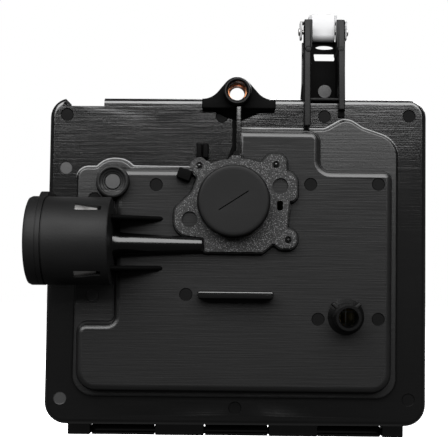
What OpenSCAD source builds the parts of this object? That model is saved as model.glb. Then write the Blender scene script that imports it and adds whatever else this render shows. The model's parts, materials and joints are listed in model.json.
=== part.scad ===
// Small-engine air filter housing: a hinged cover on a moulded base that bolts to the carburettor.
// Row frame, millimetres: the rear face points to -Y, +Z is up, and the origin is the centre of
// the carburettor throat on the outer face of the gasket.

/* [Base tray] */
// Width of the base across its rim
base_w = 151; // [149:0.5:153]
// Height of the base across its rim
base_h = 130.5; // [129:0.5:132]
// Corner radius of the rim
base_r = 8.5; // [7:0.5:10]
// Wall thickness of the mouldings
wall = 2; // [1.8:0.1:2.2]
// Depth of the rim behind the flange face
rim_depth = 18; // [17:0.5:18.5]

/* [Carburettor face] */
// Radius of the carburettor throat
throat_r = 14.05; // [13.5:0.05:14.2]
// Radius of the two carburettor screw holes
screw_hole_r = 3.1; // [2.6:0.1:3.2]
// Distance between the two screw holes
screw_spacing = 38.2; // [37.5:0.1:39]
// Thickness of the compressed gasket
gasket_t = 1; // [0.8:0.1:1.2]

/* [Mounting ear] */
// Bore radius of the metal bush in the ear
bush_bore_r = 3.3; // [3:0.1:3.5]
// Outer radius of the metal bush
bush_r = 4.2; // [4:0.1:4.4]

/* [Primer] */
// Outer radius of the primer tube
primer_r = 17; // [16.5:0.1:17.2]
// Length of the primer tube
primer_len = 30.4; // [29:0.2:31]

/* [Breather spigot] */
// Outer radius of the breather spigot
spigot_r = 5.2; // [5:0.1:5.6]
// Bore radius of the breather spigot
spigot_bore_r = 3.6; // [3.2:0.1:3.8]

/* [Latch] */
// Half width of the latch tower over its two rails
tower_half = 8.5; // [8.3:0.1:8.7]
// Radius of the latch pivot pin
latch_pin_r = 1; // [0.8:0.1:1.1]

/* [Filter] */
// Width of the flat filter element
filter_w = 133; // [131:0.5:133.5]
// Height of the flat filter element
filter_h = 114; // [113.5:0.5:114.5]
// Thickness of the flat filter element
filter_t = 22; // [20:0.5:22]
// Number of paper pleats
pleats = 20; // [12:1:24]

/* [Hidden] */
$fn = 48;

eps = 0.01;
black = [0.13, 0.13, 0.13];
deep_black = [0.08, 0.08, 0.08];
arc_steps = 6;

// Levels along Y, from the carburettor side to the cover side
pad_y = gasket_t;
high_y = 3.5;
low_y = 9;
flange_y = 12;
seat_y = flange_y + wall;
rim_front_y = flange_y + rim_depth;
cover_skirt_y = 24;
cover_front_y = 50;

// Edges of the rim
left_x = -74;
right_x = left_x + base_w;
top_z = 41;
bottom_z = top_z - base_h;

// Corner lists: each corner is [x, z, fillet radius], counter-clockwise
rim = [[left_x, bottom_z, base_r], [right_x, bottom_z, base_r],
    [right_x, top_z, base_r], [left_x, top_z, base_r]];
low_plateau = [[-64.2, bottom_z + 11.5, 9], [right_x - 11.2, bottom_z + 11.5, 8.5],
    [right_x - 11.2, 25.8, 9.5], [51.5, 30.6, 8], [45, 34.8, 6], [36.5, 29.9, 6], [2, 29.9, 0.6],
    [2, 14.2, 0.6], [-36.8, 14.2, 1.5], [-41.5, 18.3, 6], [-53.5, 18.3, 6], [-57.6, 13.9, 1.5],
    [-62.8, 13.9, 4.5]];
high_plateau = [[-61.6, bottom_z + 14.5, 8], [right_x - 14.2, bottom_z + 14.5, 8],
    [right_x - 14.2, 12.9, 3.5], [34.2, 12.9, 4], [34.2, 28.6, 4], [2.6, 28.6, 0.6],
    [2.6, 12.9, 0.6], [-46.8, 12.9, 3], [-46.8, -47.8, 2.5], [-61.6, -47.8, 4.5]];
gasket = [[-11.2, -19.8, 0.6], [11.2, -19.8, 0.6], [15.7, -16.1, 1.2], [18.4, -18.2, 1.8],
    [24.6, -18.2, 3.1], [24.6, -11.5, 3.1], [20.6, -10.4, 0.8], [21.9, 0.4, 0.8],
    [24.6, 0.6, 2.5], [24.6, 11.2, 4.5], [20.4, 12, 0.5], [20.3, 18.4, 3], [13.8, 18.4, 2.5],
    [10.8, 15, 2], [6, 16.3, 5], [3, 16.6, 0.3], [2.6, 18, 0.4], [-1.1, 18, 0.4],
    [-1.5, 16.5, 0.3], [-5.5, 16, 5], [-9.6, 14.6, 1.2], [-13.6, 18.3, 3], [-18, 13.9, 3],
    [-14, 9.2, 1.2], [-16.2, 3.2, 6], [-22.9, -2.9, 4.5], [-22.9, -12.9, 5.4],
    [-11.6, -14.4, 0.6]];

// Slope of the line that joins the two carburettor screw holes, which the throat is midway between
screw_angle = 20;
gasket_pins = [[-13.6, 13.9], [16.4, 14.6], [21.4, -14.8]];

// Mounting ear
ear = [0.8, 43.6];
ear_r = 5.7;
ear_y0 = 3;
bolt_clearance = 0.4;

// Latch tower and its pivot
tower_x = 36.2;
rail_t = 2.5;
rail_y = 8.5;
pivot_y = 22;
pivot_z = 71.7;
tower_top_z = pivot_z + 2.1;
tongue_half = 4.3;
tunnel_half = 4.9;
clip_half = 10.1;
clip_t = 0.8;

// Primer tube, along X
primer_y = -7;
primer_z = -16.2;
primer_x0 = -77.7;
primer_wall = 2.2;
window_angle = 39.5;

// Breather spigot
spigot = [44.5, -44.7];
spigot_y0 = -6;

// Cover hinge, along X
hinge_y = rim_front_y + 0.5;
hinge_z = bottom_z - 4.3;
hinge_bar_r = 1.5;
lugs = [[-67.8, -58.2], [-31.3, -11.2], [15.7, 35.7], [62.5, 71.7]];

// Ejector-pin marks on the flange and on the high plateau
flange_marks = [[-67.4, 34.8], [-5.5, 34.7], [tower_x, 34.9], [70.2, 35.1], [-67.5, 12.8],
    [-68.6, -78.7], [70.6, -78.1], [1.4, -82]];
high_marks = [[-30.6, 6.5], [30.3, 7.2], [57, 7.5], [-18.4, -36.6], [33.6, -45.8],
    [57.2, -45.6]];
mark_r = 2.3;
mark_depth = 0.4;

// Filter stack
filter_mid = [1.5, -23.5];
frame_border = 7;

function unit(v) = v / norm(v);
function xz(c) = [c[0], c[1]];
function turn(a, b) = a[0] * b[1] - a[1] * b[0];
function around(c, i) = c[(i + len(c)) % len(c)];

// Points of a closed outline whose corners are filleted
function outline(c) = [for (i = [0:len(c) - 1]) each fillet(around(c, i - 1), c[i], around(c, i + 1))];
function fillet(before, corner, after) =
    let (p = xz(corner), u = unit(xz(before) - p), v = unit(xz(after) - p),
        half = acos(max(-1, min(1, u * v))) / 2, r = corner[2],
        mid = p + unit(u + v) * r / sin(half), reach = r / tan(half),
        a0 = bearing(p + u * reach - mid), sweep = short_way(bearing(p + v * reach - mid) - a0))
    [for (k = [0:arc_steps]) let (a = a0 + sweep * k / arc_steps) mid + r * [cos(a), sin(a)]];
function bearing(v) = atan2(v[1], v[0]);
function short_way(a) = a > 180 ? a - 360 : a < -180 ? a + 360 : a;

// The same corners moved inwards by t, or outwards where t is negative
function inset(c, t) = [for (i = [0:len(c) - 1])
    let (d0 = unit(xz(c[i]) - xz(around(c, i - 1))), d1 = unit(xz(around(c, i + 1)) - xz(c[i])),
        n0 = [-d0[1], d0[0]], n1 = [-d1[1], d1[0]], p = xz(c[i]) + (n0 + n1) * t / (1 + n0 * n1),
        grow = turn(d0, d1) > 0 ? -t : t)
    [p[0], p[1], max(0.2, c[i][2] + grow)]];

// A flat shape in X and Z, extruded along Y
module slab(y0, y1) {
    translate([0, y1, 0]) rotate([90, 0, 0]) linear_extrude(y1 - y0) children();
}

// A flat shape in Y and Z, extruded along X
module along_x(x0, x1) {
    translate([x0, 0, 0]) rotate([90, 0, 90]) linear_extrude(x1 - x0) children();
}

module plate(corners, y0, y1) {
    slab(y0, y1) polygon(outline(corners));
}

module round_y(p, r, y0, y1) {
    slab(y0, y1) translate(p) circle(r);
}

module round_x(y, z, r, x0, x1) {
    translate([x0, y, z]) rotate([0, 90, 0]) cylinder(h = x1 - x0, r = r);
}

function block(x0, x1, z0, z1, r) = [[x0, z0, r], [x1, z0, r], [x1, z1, r], [x0, z1, r]];
function filter_block(extra, r) =
    block(filter_mid[0] - filter_w / 2 - extra, filter_mid[0] + filter_w / 2 + extra,
        filter_mid[1] - filter_h / 2 - extra, filter_mid[1] + filter_h / 2 + extra, r);
function screw_at(side) = side * screw_spacing / 2 * [cos(screw_angle), sin(screw_angle)];

// Outside of the tray, without its hollow
module tray_envelope() {
    plate(rim, flange_y, rim_front_y);
    plate(low_plateau, low_y, flange_y + eps);
    plate(high_plateau, high_y, low_y + eps);
    plate(inset(gasket, -1), pad_y, high_y + eps);
}

module tray_hollow() {
    plate(inset(rim, wall), seat_y, rim_front_y + 1);
    plate(inset(low_plateau, wall), low_y + wall, seat_y + eps);
    plate(inset(high_plateau, wall), high_y + wall, low_y + wall + eps);
}

// Low ribs that locate the filter, and deep ones that hold its screen up
module filter_ribs() {
    difference() {
        plate(filter_block(1.8, 3), seat_y - eps, seat_y + 4);
        plate(filter_block(0.3, 3), seat_y - 1, seat_y + 5);
    }
    for (x = [-30, 32])
        translate([x - 0.8, high_y + wall - eps, -72]) cube([1.6, 8, 82]);
    translate([-58, high_y + wall - eps, -54.8]) cube([116, 8, 1.6]);
}

module bar_rib() {
    translate([-13.6, -3, -37.8]) cube([29.3, high_y + 3 + eps, 2.7]);
}

// The tall rib from the ear down to the gasket pad
module ear_rib() {
    translate([0.7, 4, 17]) cube([2.1, flange_y - 4 + eps, 21]);
}

// Two small stops beside the gasket's upper left ear
module gasket_stops() {
    difference() {
        translate([-14.9, 4, 17.4]) cube([4.7, flange_y - 4 + eps, 5.8]);
        translate([-12.6, 3, 16]) cube([0.8, 5, 9]);
    }
    translate([-19.3, 0, 10.4]) rotate([0, 20, 0]) translate([-2.8, -1, -2.1])
        cube([5.4, high_y + 1 + eps, 4.2]);
}

module dowel_boss() {
    difference() {
        round_y([-47.5, 7.4], 6.5, 0, low_y + eps);
        round_y([-47.5, 7.4], 3.6, -1, 4.5);
    }
}

module gasket_pin_set() {
    for (p = gasket_pins) round_y(p, 0.9, -0.5, pad_y + eps);
}

module base_openings() {
    round_y([0, 0], throat_r, -1, seat_y);
    for (side = [-1, 1]) round_y(screw_at(side), screw_hole_r, -1, seat_y);
    round_y(spigot, spigot_bore_r, 0, seat_y);
    slab(-1, seat_y) translate([16.9, -3.4]) square([2.4, 3.9]);
    translate([-65.7, flange_y - 1, top_z - 3.3]) cube([13.2, rim_depth + 2, 5]);
    round_y(ear, bush_bore_r + bolt_clearance, flange_y - 1, rim_front_y + 1);
}

module ejector_marks() {
    for (p = flange_marks) round_y(p, mark_r, flange_y - 1, flange_y + mark_depth);
    for (p = high_marks) round_y(p, mark_r, high_y - 1, high_y + mark_depth);
    for (p = [[-56.3, 1.5], [-55.9, -37.7]]) round_y(p, mark_r, low_y - 1, low_y + mark_depth);
}

module base_shell() {
    color(black) difference() {
        union() {
            difference() {
                tray_envelope();
                tray_hollow();
            }
            filter_ribs();
            bar_rib();
            ear_rib();
            gasket_stops();
            dowel_boss();
            gasket_pin_set();
        }
        base_openings();
        ejector_marks();
    }
}

module mount_ear() {
    color(deep_black) difference() {
        union() {
            plate([[-13, 37.5, 0.5], [16.5, 37.5, 0.5], [16.5, top_z, 0.5], [10.5, top_z + 1, 6],
                [ear[0] + 3.2, ear[1] + 4.6, 1.5], [ear[0] - 3.2, ear[1] + 4.6, 1.5],
                [-7, top_z + 1, 6], [-13, top_z, 0.5]], 8, flange_y);
            round_y(ear, ear_r, ear_y0, flange_y);
        }
        round_y(ear, bush_r, ear_y0 - 1, flange_y + 1);
        ear_rib();
    }
}

// One rail of the tower: a thin web with a thicker head round the pin and a bump below it
module rail(side, foot_z) {
    head_t = rail_t + 0.7;
    rear_top_y = rail_y + 3.5;
    front = pivot_y + 2.5;
    module profile(z0) {
        slope = (z0 - foot_z) / (tower_top_z - foot_z);
        y0 = rail_y + slope * (rear_top_y - rail_y);
        intersection() {
            polygon([[rail_y, foot_z], [flange_y, foot_z], [flange_y, top_z], [front, top_z],
                [front, tower_top_z], [rear_top_y, tower_top_z]]);
            translate([y0 - 1, z0]) square([30, 100]);
        }
    }
    translate([tower_x, 0, 0]) mirror([side < 0 ? 1 : 0, 0, 0]) {
        along_x(tower_half - rail_t, tower_half) profile(foot_z);
        along_x(tower_half - head_t, tower_half - rail_t + eps) profile(62.5);
        translate([tower_half - head_t, 0, 62.5]) rotate([90, 0, 0])
            translate([0, 0, -front]) cylinder(h = front - rail_y - 2.6, r = 1.2);
    }
}

module latch_tower() {
    inner = tower_half - rail_t;
    front = pivot_y + 2.5;
    color(black) difference() {
        union() {
            rail(-1, 31.1);
            rail(1, 37.7);
            translate([tower_x - inner - eps, front - wall, top_z])
                cube([2 * inner + 2 * eps, wall, 27]);
            translate([tower_x - inner - eps, rail_y + 1, top_z])
                cube([2 * inner + 2 * eps, 12, 1.5]);
        }
        round_x(pivot_y, pivot_z, latch_pin_r + 0.05, tower_x - 12, tower_x + 12);
        translate([tower_x - 3.4, front - 5, 59.9]) cube([8.8, 8, 3.1]);
        intersection() {
            round_y([tower_x + 1, 59.3], 7.2, front - 5, front + 1);
            round_y([tower_x + 1, 71.6], 7.2, front - 5, front + 1);
        }
        round_y([tower_x + 1.2, 47.2], mark_r, 7, front - wall + mark_depth);
        plate(low_plateau, 0, flange_y + 1);
    }
}

// A rectangular window through the tube wall, at the window angle above or below the axis
module window_cut(side) {
    translate([-60.4, primer_y, primer_z]) rotate([side > 0 ? window_angle : 180 - window_angle, 0, 0])
        translate([0, -2.3, primer_r - 5]) cube([10.1, 4.6, 8]);
}

module primer_housing() {
    x1 = primer_x0 + primer_len;
    color(black) difference() {
        union() {
            round_x(primer_y, primer_z, primer_r, primer_x0, x1);
            translate([x1 - eps, 1, -17]) rotate([0, 90, 0]) cylinder(h = 35.6, r1 = 4.6, r2 = 3);
            for (z = [-7, -26.5])
                translate([0, 0, z - 0.9]) linear_extrude(1.8)
                    polygon([[x1 - 1, -13], [x1 - 1, 9], [-29, 9], [-29, 2.6], [-31, 2.2]]);
        }
        round_x(primer_y, primer_z, primer_r - primer_wall, primer_x0 - 1, x1 - wall);
        round_x(1, -17, 1, x1 - 3, -14);
        window_cut(1);
        window_cut(-1);
        plate(low_plateau, low_y, flange_y + 1);
        plate(high_plateau, high_y, low_y + 1);
        plate(inset(gasket, -1), -5, high_y + 1);
    }
}

module breather_spigot() {
    color(black) difference() {
        union() {
            round_y(spigot, spigot_r, spigot_y0, high_y);
            round_y(spigot, spigot_r + 1.8, high_y - 1.5, high_y);
        }
        round_y(spigot, spigot_bore_r, spigot_y0 - 1, high_y + 1);
    }
}

// Four lugs under the rim and the round bar that runs through them
module hinge_bar() {
    color(black) {
        round_x(hinge_y, hinge_z, hinge_bar_r, lugs[0][0] + 1, lugs[3][1] - 1);
        for (lug = lugs) {
            round_x(hinge_y, hinge_z, 3.2, lug[0], lug[1]);
            translate([lug[0], hinge_y - 4.5, hinge_z - 3.2]) cube([lug[1] - lug[0], 4.5, 7.5]);
        }
    }
}

module carb_gasket() {
    color([0.42, 0.42, 0.42]) difference() {
        plate(gasket, 0, gasket_t);
        round_y([0, 0], throat_r + 0.35, -1, 2);
        for (side = [-1, 1]) round_y(screw_at(side), screw_hole_r, -1, 2);
        for (p = gasket_pins) round_y(p, 1.4, -1, 2);
        slab(-1, 2) translate([16.9, -3.4]) square([2.4, 3.9]);
    }
}

module throat_cap() {
    color([0.16, 0.16, 0.16]) difference() {
        union() {
            round_y([0, 0], throat_r - 0.05, -5, 8);
            round_y([0, 0], throat_r - 0.9, -6, -5 + eps);
        }
        round_y([0, 0], throat_r - 2, -4, 9);
    }
}

module mount_bush() {
    color([0.72, 0.42, 0.2]) difference() {
        round_y(ear, bush_r, ear_y0 + 0.5, flange_y);
        round_y(ear, bush_bore_r, ear_y0, flange_y + 1);
    }
}

// Folded steel clip: two arms on the pin, low shoulders over the rails, a raised tunnel between
// them that goes over the cover's tongue, and a finger tab down the rear
module latch_clip() {
    steel = [0.9, 0.9, 0.9];
    rear = -3.2;
    depth = 5.8;
    shoulder_z = 3.4;
    crown_z = 5.3;
    tab_drop = 4.4;
    module sheet(x0, x1, y0, y1, z0, z1) {
        translate([tower_x + x0, pivot_y + y0, pivot_z + z0]) cube([x1 - x0, y1 - y0, z1 - z0]);
    }
    color(steel) difference() {
        union() {
            for (side = [0, 1]) translate([tower_x, 0, 0]) mirror([side, 0, 0])
                translate([-tower_x, 0, 0]) {
                    sheet(tunnel_half, clip_half, rear, rear + depth, shoulder_z, shoulder_z + clip_t);
                    sheet(tunnel_half, tunnel_half + clip_t, rear, rear + depth, shoulder_z,
                        crown_z + clip_t);
                    along_x(tower_x + clip_half - clip_t, tower_x + clip_half)
                        polygon([[pivot_y + rear, pivot_z + shoulder_z + clip_t],
                            [pivot_y - 2.2, pivot_z - 3.4], [pivot_y + 2, pivot_z - 3.4],
                            [pivot_y + rear + depth, pivot_z + shoulder_z + clip_t]]);
                }
            sheet(-tunnel_half - eps, tunnel_half + eps, rear, rear + depth, crown_z,
                crown_z + clip_t);
            sheet(-tunnel_half, tunnel_half, rear, rear + clip_t, -tab_drop, crown_z + clip_t);
        }
        round_x(pivot_y, pivot_z, latch_pin_r + 0.08, tower_x - 12, tower_x + 12);
    }
}

module latch_pin() {
    color([0.75, 0.75, 0.75]) {
        round_x(pivot_y, pivot_z, latch_pin_r, tower_x - clip_half - 0.7,
            tower_x + clip_half + 0.7);
        for (x = [-clip_half - 0.7, clip_half + 0.2])
            round_x(pivot_y, pivot_z, 1.6, tower_x + x, tower_x + x + 0.5);
    }
}

// Rubber dome with a flange, turned about the tube's axis
module primer_bulb() {
    color([0.5, 0.05, 0.05]) translate([-71, primer_y, primer_z]) rotate([0, -90, 0])
        rotate_extrude()
            polygon(concat([[8.3, 0], [13.1, 0], [13.1, 2], [10.4, 2]],
                [for (a = [0:15:90]) [10.2 * cos(a), 2.6 + 3.6 * sin(a)]],
                [[0, 4.8]], [for (a = [75:-15:0]) [8.6 * cos(a), 2.4 + 2.4 * sin(a)]]));
}

module bulb_retainer() {
    tube_r = primer_r - primer_wall;
    color([0.8, 0.78, 0.78]) {
        difference() {
            round_x(primer_y, primer_z, tube_r - 0.1, -75.2, -73.2);
            round_x(primer_y, primer_z, 11.3, -76, -73);
        }
        for (side = [-1, 1])
            translate([0, primer_y, primer_z])
                rotate([side > 0 ? window_angle : 180 - window_angle, 0, 0]) {
                    translate([-73.2 - eps, -2, tube_r - 1.25]) cube([22.2, 4, 1]);
                    translate([-59.9, -2, tube_r - 0.3]) cube([8.9, 4, 1.6]);
                }
    }
}

module filter_frame() {
    color([0.75, 0.28, 0.1]) difference() {
        plate(filter_block(0, 3), seat_y, seat_y + filter_t);
        plate(filter_block(-frame_border, 1.5), seat_y - 1, seat_y + filter_t + 1);
    }
}

// One folded sheet of paper, with its folds along Z
module filter_pleats() {
    w = filter_w - 2 * frame_border;
    pitch = w / (2 * pleats);
    near = seat_y + 1.4;
    far = seat_y + filter_t - 1;
    x0 = filter_mid[0] - w / 2;
    sheet = 0.7;
    function fold_y(i) = i % 2 == 0 ? near + sheet : far - sheet;
    color([0.86, 0.8, 0.62])
        translate([0, 0, filter_mid[1] - filter_h / 2 + frame_border])
            linear_extrude(filter_h - 2 * frame_border)
                polygon(concat(
                    [for (i = [0:2 * pleats]) [x0 + i * pitch, fold_y(i) - sheet]],
                    [for (i = [2 * pleats:-1:0]) [x0 + i * pitch, fold_y(i) + sheet]]));
}

// Wire screen on the clean side of the paper
module filter_screen() {
    w = filter_w - 2 * frame_border;
    h = filter_h - 2 * frame_border;
    x0 = filter_mid[0] - w / 2;
    z0 = filter_mid[1] - h / 2;
    color([0.7, 0.7, 0.7]) {
        for (i = [0:10]) translate([x0 + i * (w - 1) / 10, seat_y + 0.4, z0]) cube([1, 1, h]);
        for (i = [0:8]) translate([x0, seat_y + 0.4, z0 + i * (h - 1) / 8]) cube([w, 1, 1]);
    }
}

module foam_precleaner() {
    color([0.25, 0.25, 0.27]) plate(filter_block(0, 4), seat_y + filter_t, seat_y + filter_t + 8);
}

// The arm that the latch holds, standing on the cover's top wall: two side bars, a bridge and
// the narrow tongue above it
module catch_arm() {
    y0 = pivot_y + 3;
    t = 1.5;
    half = 8.2;
    foot_z = top_z - wall - 0.4;
    bridge_z = pivot_z - 3.6;
    color(black) {
        difference() {
            along_x(tower_x - half, tower_x + half)
                polygon([[31.2, foot_z], [33.4, foot_z], [33.4, 44], [y0 + t, 50.6],
                    [y0 + t, bridge_z], [y0, bridge_z], [y0, 50], [31.2, 43.4]]);
            translate([tower_x - 5.9, y0 - 1, 51.5]) cube([11.8, t + 2, bridge_z - 1.2 - 51.5]);
        }
        translate([tower_x - tongue_half, y0, bridge_z - eps])
            cube([2 * tongue_half, t, pivot_z + 1.4 - bridge_z]);
    }
}

module cover_hooks() {
    for (i = [0:2]) {
        x0 = lugs[i][1] + 0.5;
        x1 = lugs[i + 1][0] - 0.5;
        difference() {
            union() {
                round_x(hinge_y, hinge_z, 2.7, x0, x1);
                translate([x0, hinge_y + 0.7, hinge_z]) cube([x1 - x0, 2, 7.5]);
            }
            round_x(hinge_y, hinge_z, hinge_bar_r + 0.08, x0 - 1, x1 + 1);
            translate([x0 - 1, hinge_y - 3.5, hinge_z - 1.2]) cube([x1 - x0 + 2, 3.5, 2.4]);
        }
    }
}

module cover_shell() {
    skin = inset(rim, wall + 0.4);
    color(black) {
        difference() {
            plate(skin, cover_skirt_y, cover_front_y);
            plate(inset(skin, wall), cover_skirt_y - 1, cover_front_y - wall);
            for (i = [0:6]) translate([-40, cover_front_y - 5, -66 + i * 9]) cube([83, 7, 3.2]);
        }
        difference() {
            plate(filter_block(-6, 3), seat_y + filter_t + 8, cover_front_y - wall + eps);
            plate(filter_block(-7.6, 3), seat_y + filter_t, cover_front_y);
        }
        cover_hooks();
    }
}

base_shell();
mount_ear();
latch_tower();
primer_housing();
breather_spigot();
hinge_bar();
carb_gasket();
throat_cap();
mount_bush();
latch_clip();
latch_pin();
primer_bulb();
bulb_retainer();
filter_frame();
filter_pleats();
filter_screen();
foam_precleaner();
cover_shell();
catch_arm();
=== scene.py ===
"""Small-engine air filter housing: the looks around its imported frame. Metres, rear face to -Y, +Z up."""

import json
import math

import bmesh
import bpy
import numpy as np
from mathutils import Matrix, Vector
from mathutils.geometry import delaunay_2d_cdt


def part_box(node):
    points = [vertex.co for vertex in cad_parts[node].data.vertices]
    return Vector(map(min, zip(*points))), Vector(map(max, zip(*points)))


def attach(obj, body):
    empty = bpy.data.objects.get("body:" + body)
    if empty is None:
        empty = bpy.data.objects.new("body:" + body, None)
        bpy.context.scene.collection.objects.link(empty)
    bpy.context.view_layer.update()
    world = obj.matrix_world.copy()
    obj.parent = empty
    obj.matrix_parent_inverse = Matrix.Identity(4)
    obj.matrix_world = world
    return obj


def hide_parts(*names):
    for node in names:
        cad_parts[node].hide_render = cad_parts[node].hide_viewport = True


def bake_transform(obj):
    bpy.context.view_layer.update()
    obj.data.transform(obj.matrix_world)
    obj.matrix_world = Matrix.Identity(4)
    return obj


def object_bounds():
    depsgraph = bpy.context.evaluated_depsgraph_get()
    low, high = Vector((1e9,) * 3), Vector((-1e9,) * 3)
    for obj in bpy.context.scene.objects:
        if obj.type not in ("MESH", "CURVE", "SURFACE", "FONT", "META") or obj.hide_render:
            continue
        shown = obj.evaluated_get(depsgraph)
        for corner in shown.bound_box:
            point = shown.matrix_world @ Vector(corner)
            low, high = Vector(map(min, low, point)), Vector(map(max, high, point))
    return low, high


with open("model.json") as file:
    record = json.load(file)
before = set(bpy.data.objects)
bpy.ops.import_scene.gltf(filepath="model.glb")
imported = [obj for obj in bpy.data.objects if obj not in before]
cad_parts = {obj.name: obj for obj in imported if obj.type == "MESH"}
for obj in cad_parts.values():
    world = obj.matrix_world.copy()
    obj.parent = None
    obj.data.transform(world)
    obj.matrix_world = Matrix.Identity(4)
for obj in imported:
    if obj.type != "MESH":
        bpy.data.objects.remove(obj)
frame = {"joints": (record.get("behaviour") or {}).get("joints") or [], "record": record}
CAD_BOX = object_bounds()

MM = 0.001
SCENE = bpy.context.scene
ARC_STEPS = 8       # sides of a filleted corner
EDGE_STEPS = 4      # sides of a rounded edge
SHARP = 38          # degrees above which an edge stays crisp
ON_AXIS = 0.01      # radius where a turned profile closes on its axis
SINK = 0.3          # how deep a rib's foot stands in the wall under it


# -------------------- places from the frame, in millimetres
def span(node, axis):
    """The lowest and the highest place of a CAD node along an axis."""
    return [round(corner["xyz".index(axis)] / MM, 1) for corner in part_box(node)]


def middle(node, axis):
    return round(sum(span(node, axis)) / 2, 2)


def named(items, name):
    return next(item for item in items if item["name"] == name)


def spot(item):
    """Where the record puts a joint or a mount."""
    return [round(c / MM, 2) for c in item["pos_m"]]


MOUNTS = frame["record"]["mounts"]
PAD_Y = span("carb_gasket", "y")[1]
HIGH_Y = span("breather_spigot", "y")[1]
LOW_Y = 9.0
FLANGE_Y = span("mount_ear", "y")[1]
RIM_FRONT_Y = span("base_shell", "y")[1]
TOWER_X, PIVOT_Y, PIVOT_Z = spot(named(frame["joints"], "latch_swing"))
HINGE_Y, HINGE_Z = spot(named(frame["joints"], "cover_hinge"))[1:]
SPIGOT = spot(named(MOUNTS, "breather_spigot"))[::2]
SCREW_R = named(MOUNTS, "carb_screws")["dims"]["hole_r_mm"]
PRIMER_Y, PRIMER_Z = middle("primer_housing", "y"), middle("primer_housing", "z")
PRIMER_R = span("primer_housing", "z")[1] - PRIMER_Z
FILTER_X, FILTER_Z = span("filter_frame", "x"), span("filter_frame", "z")
SEAT_Y, FILTER_FRONT_Y = span("filter_frame", "y")
FOAM_Y = span("foam_precleaner", "y")
COVER_Y = span("cover_shell", "y")

# -------------------- sizes, in millimetres
WALL = 2.0
THROAT_R = 14.05
SCREW_AT = [(18.2, 6.2), (-17.2, -7.2)]
GASKET_PINS = [(-13.6, 13.9), (16.4, 14.6), (21.4, -14.8)]
PIN_HOLE_R = 1.4
SLOT_X, SLOT_Z = (16.9, 19.3), (-3.4, 0.5)
DOWEL_CUP = (-47.5, 7.4)
WINDOW_TILT = 39.5  # degrees of the primer tube's windows above and below the level plane
LUGS = [(-67.4, -58.2), (-31.3, -11.2), (15.7, 35.7), (62.5, 71.1)]
SPIGOT_BORE_R = 3.6
FILTER_BORDER = 7.0
PAPER_X = (FILTER_X[0] + FILTER_BORDER, FILTER_X[1] - FILTER_BORDER)
PAPER_Z = (FILTER_Z[0] + FILTER_BORDER, FILTER_Z[1] - FILTER_BORDER)
CATCH_Y, CATCH_T, BRIDGE_Z = PIVOT_Y + 3, 1.5, PIVOT_Z - 3.6

# The ear's bore stands a little off its mount, and the rim a little outside the CAD's
EAR_STEP = (0.3, 0.5)
EAR = [round(at + step, 2) for at, step in zip(spot(named(MOUNTS, "ear_bush"))[::2], EAR_STEP)]
RIM_STEPS = [(-1.1, 0.3), (0.9, 0.6), (0.7, 1.8), (-0.3, 0.95)]
RIM_RADII = [8.5, 8.5, 7.2, 7.8]


def rim():
    """The rim's corners: those of the CAD base's box, each moved by its step."""
    (x0, x1), (z0, z1) = span("base_shell", "x"), span("base_shell", "z")
    corners = [(x0, z0), (x1, z0), (x1, z1), (x0, z1)]
    return [(round(x + dx, 2), round(z + dz, 2), r)
        for (x, z), (dx, dz), r in zip(corners, RIM_STEPS, RIM_RADII)]


# Corner lists: each corner is (x, z, fillet radius), counter-clockwise
RIM = rim()
LOW = [(-64.2, -78, 9), (65.8, -78, 8.5), (65.8, 25.8, 9.5), (51.5, 30.6, 8), (45, 34.8, 6),
    (36.5, 29.9, 6), (2, 29.9, 0.6), (2, 14.2, 0.6), (-40.4, 14.2, 1.7), (-43.4, 17.2, 8.4),
    (-51.6, 17.2, 8.4), (-54.9, 13.9, 1.7), (-62.8, 13.9, 4.5)]
HIGH = [(-61.6, -75, 8), (62.8, -75, 8), (62.8, 12.9, 3.5), (34.2, 12.9, 4), (34.2, 28.6, 4),
    (0.9, 28.6, 0.6), (0.9, 12.9, 0.6), (-46.8, 12.9, 3), (-46.8, -47.8, 2.5), (-61.6, -47.8, 4.5)]
GASKET = [(-11.2, -19.8, 0.6), (11.2, -19.8, 0.6), (15.7, -16.1, 1.2), (18.4, -18.2, 1.8),
    (24.6, -18.2, 3.1), (24.6, -11.5, 3.1), (20.6, -10.4, 0.8), (21.9, 0.4, 0.8),
    (24.6, 0.6, 2.5), (24.6, 11.2, 4.5), (20.4, 12, 0.5), (20.3, 18.4, 3), (13.8, 18.4, 2.5),
    (10.8, 15, 2), (6, 16.3, 5), (3, 16.6, 0.3), (2.6, 18, 0.4), (-1.1, 18, 0.4),
    (-1.5, 16.5, 0.3), (-5.5, 16, 5), (-9.6, 14.6, 1.2), (-13.6, 18.3, 3), (-18, 13.9, 3),
    (-14, 9.2, 1.2), (-16.2, 3.2, 6), (-22.9, -2.9, 4.5), (-22.9, -12.9, 5.4),
    (-11.6, -14.4, 0.6)]
DARK_MARKS = [(-67.4, 35.1), (-5.0, 35.0), (TOWER_X + 0.2, 35.3), (70.5, 35.8), (70.6, -78.1),
    (1.4, -82), (-30.6, 6.5), (30.3, 7.2), (57, 7.5), (-18.4, -36.6), (33.6, -45.8),
    (57.2, -45.6), (-55.5, 1.0)]
LIGHT_MARKS = [(-67.5, 13.6), (-68.6, -78.7), (-55.9, -37.7)]
MARK_R = 2.6
MARK_EDGE = 0.3     # depth of an ejector mark, and width of its edge


# -------------------- outlines
def unit(v):
    return v / np.linalg.norm(v)


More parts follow.
